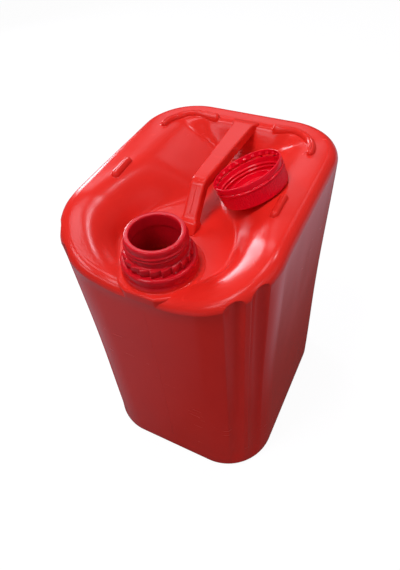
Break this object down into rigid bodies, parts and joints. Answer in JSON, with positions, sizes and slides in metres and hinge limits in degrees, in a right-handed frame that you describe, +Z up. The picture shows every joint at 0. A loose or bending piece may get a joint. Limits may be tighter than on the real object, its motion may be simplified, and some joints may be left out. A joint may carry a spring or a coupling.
{
  "type": "jerrycan",
  "caption": "Upright plastic jerrycan with stacking rims round a sunk top, moulded handle, threaded neck, and its screw cap lying open beside the handle.",
  "frame": {"origin": "on the ground under the middle of the can's base", "axes": "+Z up, -Y towards the neck and the front face, +X to the right when the neck is nearest"},
  "size_m": [0.19, 0.2272, 0.3195],
  "materials": {
    "can_plastic": "satin blow-moulded polyethylene, bright red, with a faint grain",
    "cap_plastic": "glossy injection-moulded polyethylene, deep red",
    "band_plastic": "glossy injection-moulded polyethylene, deep red"
  },
  "bodies": {
    "can": {"can_body": "can_plastic"},
    "cap": {"screw_cap": "cap_plastic", "tamper_band": "band_plastic"}
  },
  "joints": [
    {"name": "cap_lift", "type": "slide", "parent": "can", "child": "cap", "axis": [0, 0, 1], "range_m": [0, 0.15]}
  ]
}
